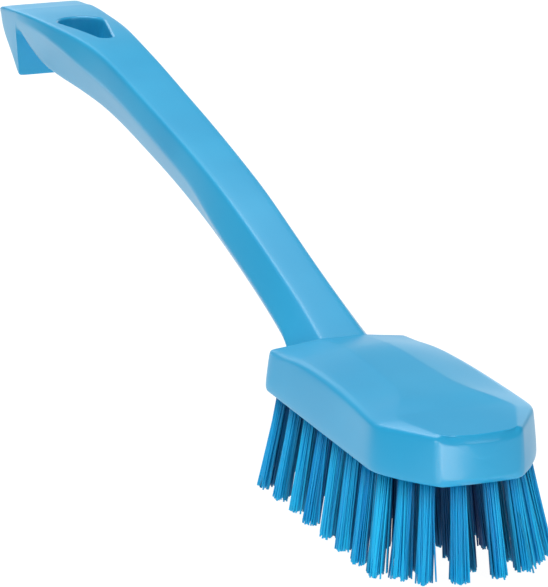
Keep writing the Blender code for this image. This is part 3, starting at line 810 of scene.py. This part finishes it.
def slot_outline():
    """The drop shape of the slot: two arcs and the tangents between them."""
    broad, narrow = HANG_WIDTH / 2, HANG_TIP_WIDTH / 2
    broad_x = hook_x + HANG_FROM_HOOK + broad
    narrow_x = hook_x + HANG_FROM_HOOK + HANG_LENGTH - narrow
    tangent = math.acos((broad - narrow) / (narrow_x - broad_x))
    arcs = []
    for centre, radius, start, stop, steps in (
            (broad_x, broad, tangent, 2 * math.pi - tangent, BROAD_STEPS),
            (narrow_x, narrow, -tangent, tangent, NARROW_STEPS)):
        for k in range(steps + 1):
            turn = between(start, stop, k / steps)
            arcs.append(Vector((centre + radius * math.cos(turn),
                                radius * math.sin(turn))))
    # the long sides follow the handle's arch, so they are cut finely
    full = []
    for here, there in zip(arcs, arcs[1:] + arcs[:1]):
        parts = max(int((there - here).length / LONGEST_STEP), 1)
        full += [here.lerp(there, k / parts) for k in range(parts)]
    return full


def slot_cutter():
    """The slot's outline carried through the handle, flared at both rims."""
    full = slot_outline()
    along = [(full[(i + 1) % len(full)] - full[i - 1]).normalized()
             for i in range(len(full))]
    shape = bmesh.new()
    layers = []
    for above, out, up in RIM:
        rim = HANG_RIM_ROUND if above else -HANG_RIM_ROUND / 2
        layer = []
        for point, way in zip(full, along):
            spot = point + Vector((way.y, -way.x)) * abs(rim) * out
            half = handle_ring((head_rear_x - spot.x) / HANDLE_LENGTH)[0]
            z = (half[0][2] if above else half[-1][2]) + rim * up
            layer.append(shape.verts.new((spot.x + front_x, spot.y, z)))
        layers.append(layer)
    bridge(shape, layers)
    shape.faces.new(layers[0][::-1])
    shape.faces.new(layers[-1])
    bmesh.ops.recalc_face_normals(shape, faces=shape.faces)
    return as_mesh(shape, "slot")


for cutter in (add_object("slot", slot_cutter()),
               add_object("holes", hole_cutter())):
    cut = moulding.modifiers.new(cutter.name, "BOOLEAN")
    cut.operation, cut.solver, cut.object = "DIFFERENCE", "EXACT", cutter
    applied(moulding)
    bpy.data.objects.remove(cutter)
clean = bmesh.new()
clean.from_mesh(moulding.data)
bmesh.ops.remove_doubles(clean, verts=clean.verts, dist=SAME_PLACE)
bmesh.ops.recalc_face_normals(clean, faces=clean.faces)
clean.to_mesh(moulding.data)
clean.free()
moulding.data.shade_smooth()
moulding.data.set_sharp_from_angle(angle=SHARP_ANGLE)
print("moulding cut:", len(moulding.data.polygons), "faces")

# %% [markdown]
# A moulding of polypropylene is semi-gloss. Its colour is even but not flat:
# it drifts a little over a few centimetres, the gloss drifts with the flow of
# the melt, and the surface has a fine orange peel that breaks up highlights.

# %% Finish of the moulding
DEEP_PLASTIC = (0.016, 0.335, 0.605, 1)
PALE_PLASTIC = (0.020, 0.365, 0.640, 1)

plastic = Finish("blue_plastic_finish", (0.012, 0.34, 0.64), 0.3)
spot = plastic.place()
drift = plastic.noise(spot, 28.0, 2.0, 0.5).ramp(0.3, 0.7)
flow = plastic.noise(plastic.stretched((9.0, 60.0, 60.0)), 1.0, 3.0, 0.55)
peel = plastic.noise(spot, 900.0, 2.0, 0.5)
plastic.set("Base Color", plastic.mix(drift, DEEP_PLASTIC, PALE_PLASTIC))
plastic.set("Roughness", 0.28 + flow * 0.10)
plastic.set("Specular IOR Level", 0.42)
plastic.bump(flow * 0.6 + peel * 0.4, 0.12, 0.00012)
moulding.data.materials.clear()
moulding.data.materials.append(plastic.material)
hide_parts("block_and_handle")
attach(moulding, "root")

# %% [markdown]
# Every tuft is a bundle of filaments folded over an anchor deep in its hole.
# They leave the mouth close together and spread a little on the way down. None
# is quite straight, the cut is slightly ragged, and a few stray from the rest.
# Geometry Nodes grows them from 49 points, one at the mouth of each hole, that
# carry the lean of their tuft. The tree below is written with a small helper:
# `Tree.node` adds a node and links its inputs, by name or by number.

# %% Helper for node trees
class Tree:
    """A Geometry Nodes tree with named inputs."""

    def __init__(self, name, **inputs):
        self.group = bpy.data.node_groups.new(name, "GeometryNodeTree")
        face = self.group.interface
        face.new_socket("Geometry", in_out="INPUT",
                        socket_type="NodeSocketGeometry")
        face.new_socket("Geometry", in_out="OUTPUT",
                        socket_type="NodeSocketGeometry")
        self.sockets = []
        for key, (kind, value) in inputs.items():
            made = face.new_socket(key.replace("_", " "), in_out="INPUT",
                                   socket_type="NodeSocket" + kind)
            self.sockets.append((made, value))
        self.start = self.group.nodes.new("NodeGroupInput")
        self.end = self.group.nodes.new("NodeGroupOutput")

    def value(self, key):
        return self.start.outputs[key.replace("_", " ")]

    def node(self, kind, inputs=(), output=0, **settings):
        made = self.group.nodes.new(kind)
        for key, value in settings.items():
            setattr(made, key, value)
        for key, value in dict(inputs).items():
            socket = made.inputs[key]
            if isinstance(value, bpy.types.NodeSocket):
                self.group.links.new(value, socket)
            else:
                socket.default_value = value
        return made.outputs[output]

    def maths(self, operation, *values):
        return self.node("ShaderNodeMath", enumerate(values),
                         operation=operation)

    def vector(self, operation, *values, output=0):
        return self.node("ShaderNodeVectorMath", enumerate(values), output,
                         operation=operation)

    def scaled(self, vector, scale):
        return self.node("ShaderNodeVectorMath", {0: vector, "Scale": scale},
                         operation="SCALE")

    def random(self, low, high, seed):
        """A random number or vector, by the tree's seed plus this one."""
        seed = self.maths("ADD", self.value("Seed"), seed)
        if isinstance(low, tuple):
            return self.node("FunctionNodeRandomValue",
                             {"Min": low, "Max": high, "Seed": seed}, 0,
                             data_type="FLOAT_VECTOR")
        return self.node("FunctionNodeRandomValue",
                         {2: low, 3: high, "Seed": seed}, 1,
                         data_type="FLOAT")

    def keep(self, geometry, name, value, kind="FLOAT", domain="POINT"):
        """Stores a value as a named attribute of the geometry."""
        return self.node("GeometryNodeStoreNamedAttribute",
                         {"Geometry": geometry, "Name": name, "Value": value},
                         data_type=kind, domain=domain)

    def read(self, name, kind="FLOAT"):
        return self.node("GeometryNodeInputNamedAttribute", {"Name": name},
                         data_type=kind)

    def fit(self, thing):
        """Adds the tree to an object and sets its inputs by identifier."""
        step = thing.modifiers.new(self.group.name, "NODES")
        step.node_group = self.group
        for made, value in self.sockets:
            step[made.identifier] = value


# %% [markdown]
# The seeds of the filaments are spread like the seeds of a sunflower, which
# fills a round hole evenly. A seed's offset from the middle of the tuft also
# turns its filament outwards, so the bundle opens a little. Noise of the
# root's place sways neighbours together, so a tuft falls into clumps with
# ragged ends. Every filament ends at the floor, less a ragged bit, and none
# comes nearer to the sides of the brush's box than the margin.

# %% The tree that grows the filaments
bristle = Finish("blue_bristle_finish", (0.006, 0.30, 0.60), 0.35)

GOLDEN_ANGLE, TURN_PER_TUFT, FULL_TURN = 2.39996, 1.7, 6.283
JITTER = 0.12 * MM
RARITY = 24.0                   # the higher, the fewer filaments stray
RAG, CLUMP_RAG = 1.6, 4.0       # how uneven single tips are, and whole clumps
ROD_SIDES = 5
BOX_MARGINS = (0.1 * MM, 0.05 * MM, 0.02 * MM)

grow = Tree(
    "filaments", Count=("Int", 60), Tuft_Radius=("Float", 2.2 * MM),
    Filament_Radius=("Float", 0.29 * MM), Root=("Float", 2.0 * MM),
    Spread=("Float", 1.2), Wander=("Float", 0.016), Clump=("Float", 420.0),
    Sway=("Float", 0.15), Stray=("Float", 0.14), Bow=("Float", 0.4 * MM),
    Ragged=("Float", 1.1 * MM), Margin=("Float", 0.7 * MM),
    Height=("Float", BRISTLE_HEIGHT), Seed=("Int", 7),
    Material=("Material", bristle.material))

mouths = grow.node("GeometryNodeMeshToPoints",
                   {"Mesh": grow.start.outputs["Geometry"]})
mouths = grow.keep(mouths, "tuft", grow.node("GeometryNodeInputIndex"))
copies = grow.group.nodes.new("GeometryNodeDuplicateElements")
copies.domain = "POINT"
grow.group.links.new(mouths, copies.inputs["Geometry"])
grow.group.links.new(grow.value("Count"), copies.inputs["Amount"])
seeds, number = copies.outputs["Geometry"], copies.outputs["Duplicate Index"]

# where a seed lies in its tuft
share = grow.maths("DIVIDE", grow.maths("ADD", number, 0.5),
                   grow.value("Count"))
reach = grow.maths("MULTIPLY", grow.maths("SQRT", share),
                   grow.value("Tuft_Radius"))
turn = grow.maths("ADD", grow.maths("MULTIPLY", number, GOLDEN_ANGLE),
                  grow.maths("MULTIPLY", grow.read("tuft"), TURN_PER_TUFT))
lean = grow.read("lean", "FLOAT_VECTOR")
up = grow.scaled(lean, -1.0)
side = grow.vector("NORMALIZE", grow.vector("CROSS_PRODUCT", up, (1, 0, 0)))
along = grow.vector("CROSS_PRODUCT", side, up)
reach_along = grow.maths("MULTIPLY", reach, grow.maths("COSINE", turn))
reach_aside = grow.maths("MULTIPLY", reach, grow.maths("SINE", turn))
offset = grow.vector("ADD", grow.scaled(along, reach_along),
                     grow.scaled(side, reach_aside))
outward = grow.vector("NORMALIZE", grow.vector("MULTIPLY", lean, (1, 1, 0)))
# how far a seed lies on the outer side of its tuft; the finish paints shade on the hairs
# that lie inwards
facing = grow.vector("DOT_PRODUCT", offset, outward, output=1)
facing = grow.maths("DIVIDE", facing, grow.value("Tuft_Radius"))
offset = grow.vector("ADD", offset,
                     grow.random((-JITTER,) * 3, (JITTER,) * 3, 1))
raised = grow.vector("ADD", offset, grow.scaled(up, grow.value("Root")))
root = grow.vector("ADD", grow.node("GeometryNodeInputPosition"), raised)

# which way it grows
opening = grow.maths("SUBTRACT", grow.value("Spread"), 1.0)
opening = grow.maths("DIVIDE", opening, grow.value("Height"))
wander = grow.scaled(grow.random((-1, -1, -1), (1, 1, 1), 2),
                     grow.value("Wander"))
rare = grow.maths("POWER", grow.random(0.0, 1.0, 3), RARITY)
stray = grow.scaled(grow.random((-1, -1, 0), (1, 1, 0), 4),
                    grow.maths("MULTIPLY", rare, grow.value("Stray")))
clump = {"Vector": root, "Scale": grow.value("Clump"), "Detail": 1.0}
sway = grow.vector("SUBTRACT", grow.node("ShaderNodeTexNoise", clump, 1),
                   (0.5, 0.5, 0.5))
way = grow.vector("ADD", lean, grow.scaled(offset, opening))
way = grow.vector("ADD", way, grow.vector("ADD", wander, stray))
way = grow.vector("ADD", way, grow.scaled(sway, grow.value("Sway")))

# how far down it reaches
band = grow.node("ShaderNodeTexNoise", clump)
clump_tip = grow.maths("SUBTRACT", band, 0.5)
clump_tip = grow.maths("MULTIPLY", clump_tip, CLUMP_RAG)
tip = grow.maths("ADD", grow.maths("POWER", grow.random(0.0, 1.0, 5), RAG),
                 grow.maths("MAXIMUM", clump_tip, 0.0))
tip = grow.maths("MULTIPLY", tip, grow.value("Ragged"))
fall = grow.node("ShaderNodeSeparateXYZ", {0: way}, 2)
root_z = grow.node("ShaderNodeSeparateXYZ", {0: root}, 2)
length = grow.maths("DIVIDE", grow.maths("SUBTRACT", tip, root_z), fall)

# where it ends: never nearer to the sides of the brush's box than the margin
low, high = cad_box
keep_off = grow.node("ShaderNodeCombineXYZ",
                     {"X": grow.value("Margin"), "Y": grow.value("Margin")})
end = grow.vector("ADD", root, grow.scaled(way, length))
end = grow.vector("MAXIMUM", end, grow.vector("ADD", keep_off, tuple(low)))
end = grow.vector("MINIMUM", end,
                  grow.vector("SUBTRACT", tuple(high), keep_off))
way = grow.vector("SUBTRACT", end, root)
length = grow.vector("LENGTH", way, output=1)
way = grow.vector("NORMALIZE", way)

# one filament: a thin rod of unit length and radius, growing along +Z
rod = grow.node("GeometryNodeMeshCylinder",
                {"Vertices": ROD_SIDES, "Side Segments": 5, "Radius": 1.0,
                 "Depth": 1.0})
rod = grow.node("GeometryNodeTransform", {"Geometry": rod,
                                          "Translation": (0, 0, 0.5)})
rod_z = grow.node("ShaderNodeSeparateXYZ",
                  {0: grow.node("GeometryNodeInputPosition")}, 2)
rod = grow.keep(rod, "along", rod_z)

# the values are stored first, because they depend on where the mouth is
for name, value, kind in (("way", way, "FLOAT_VECTOR"),
                          ("seed", root, "FLOAT_VECTOR"),
                          ("length", length, "FLOAT"),
                          ("facing", facing, "FLOAT"),
                          ("band", band, "FLOAT")):
    seeds = grow.keep(seeds, name, value, kind)
seeds = grow.node("GeometryNodeSetPosition",
                  {"Geometry": seeds,
                   "Position": grow.read("seed", "FLOAT_VECTOR")})
aim = grow.node("FunctionNodeAlignRotationToVector",
                {"Vector": grow.read("way", "FLOAT_VECTOR")}, axis="Z")
spin = grow.node("ShaderNodeCombineXYZ", {"Z": grow.random(0.0, FULL_TURN, 6)})
aim = grow.node("FunctionNodeRotateRotation",
                {"Rotation": aim, "Rotate By": spin}, rotation_space="LOCAL")
thick = grow.value("Filament_Radius")
size = grow.node("ShaderNodeCombineXYZ",
                 {"X": thick, "Y": thick, "Z": grow.read("length")})
rods = grow.node("GeometryNodeInstanceOnPoints",
                 {"Points": seeds, "Instance": rod, "Rotation": aim,
                  "Scale": size})
rods = grow.keep(rods, "shade", grow.random(0.0, 1.0, 8), domain="INSTANCE")
bent = grow.scaled(grow.random((-1, -1, 0), (1, 1, 0), 9), grow.value("Bow"))
rods = grow.keep(rods, "bow", bent, "FLOAT_VECTOR", "INSTANCE")
hairs = grow.node("GeometryNodeRealizeInstances", {"Geometry": rods})

# each hair bends more and more towards its tip, and none leaves the box
part = grow.read("along")
hairs = grow.node(
    "GeometryNodeSetPosition",
    {"Geometry": hairs,
     "Offset": grow.scaled(grow.read("bow", "FLOAT_VECTOR"),
                           grow.maths("MULTIPLY", part, part))})
low = tuple(side + margin for side, margin in zip(cad_box[0], BOX_MARGINS))
high = tuple(side - margin for side, margin in zip(cad_box[1], BOX_MARGINS))
spread = grow.node("GeometryNodeInputPosition")
spread = grow.vector("MINIMUM", grow.vector("MAXIMUM", spread, low), high)
hairs = grow.node("GeometryNodeSetPosition",
                  {"Geometry": hairs, "Position": spread})
hairs = grow.node("GeometryNodeSetShadeSmooth", {"Geometry": hairs})
hairs = grow.node("GeometryNodeSetMaterial",
                  {"Geometry": hairs, "Material": grow.value("Material")})
grow.group.links.new(hairs, grow.end.inputs["Geometry"])

# %% The filaments
def depth_inside(spot, hull):
    """Distance from the edge of the hull, in widths of the head."""
    to_edge = min((geometry.intersect_point_line(spot, *edge)[0].xy
                   - spot).length for edge in zip(hull, hull[1:] + hull[:1]))
    return to_edge / HEAD_WIDTH


seedbed = bpy.data.meshes.new("filaments")
seedbed.from_pydata([mouth for mouth, _ in places], [], [])
seedbed.attributes.new("lean", "FLOAT_VECTOR", "POINT")
# the depth of a tuft inside the brush drives the painted shade of the inner rows
seedbed.attributes.new("depth", "FLOAT", "POINT")
flat = [mouth.xy for mouth, _ in places]
hull = [flat[i] for i in geometry.convex_hull_2d(flat)]
for i, (_, lean) in enumerate(places):
    seedbed.attributes["lean"].data[i].vector = lean
    seedbed.attributes["depth"].data[i].value = depth_inside(flat[i], hull)
filaments = add_object("filaments", seedbed)
grow.fit(filaments)
applied(filaments)
print("filaments:", len(filaments.data.polygons), "faces")
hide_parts(*[name for name in nodes if name.startswith("tuft_")])
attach(filaments, "root")

# %% [markdown]
# The filaments are polyester, thin and glossy. Neighbours differ in tone at
# random, so the bundle reads as single hairs. Painted shade darkens the colour
# where the light is lost between the tufts: at the hairs of a tuft that do not
# face outwards, in the inner rows and near the block. The cut tips are a little
# paler.

# %% Finish of the filaments
# DEEP_BLUE and BRIGHT_BLUE are the filaments' own tones; UNLIT_BLUE is the painted shade
# they darken towards
DEEP_BLUE, BRIGHT_BLUE = (0.0005, 0.27, 0.62, 1), (0.012, 0.50, 0.84, 1)
CUT_BLUE, UNLIT_BLUE = (0.03, 0.46, 0.74, 1), (0.0002, 0.016, 0.10, 1)

shade = bristle.attribute("shade")
reach_down = bristle.attribute("along")
band = bristle.attribute("band").ramp(0.32, 0.68)
tone = bristle.mix(shade * 0.4 + band * 0.6, DEEP_BLUE, BRIGHT_BLUE)
tone = bristle.mix(reach_down.ramp(0.95, 1.0) * 0.35, tone, CUT_BLUE)
# painted shade in the base colour: darker in the inner rows (less so at the cut ends), on
# the hairs of a tuft that face inwards, and towards the roots near the block
lost = (bristle.attribute("depth").ramp(0.03, 0.2)
        * (0.85 - reach_down.ramp(0.985, 1.0) * 0.6))
lit = ((1.0 - lost)
       * (0.3 + bristle.attribute("facing").ramp(-0.6, 0.5) * 0.7)
       * (0.45 + reach_down.ramp(0.0, 0.4) * 0.55))
bristle.set("Base Color", bristle.mix(lit, UNLIT_BLUE, tone))
bristle.set("Roughness", 0.34 + shade * 0.14)
bristle.set("Specular IOR Level", 0.16)
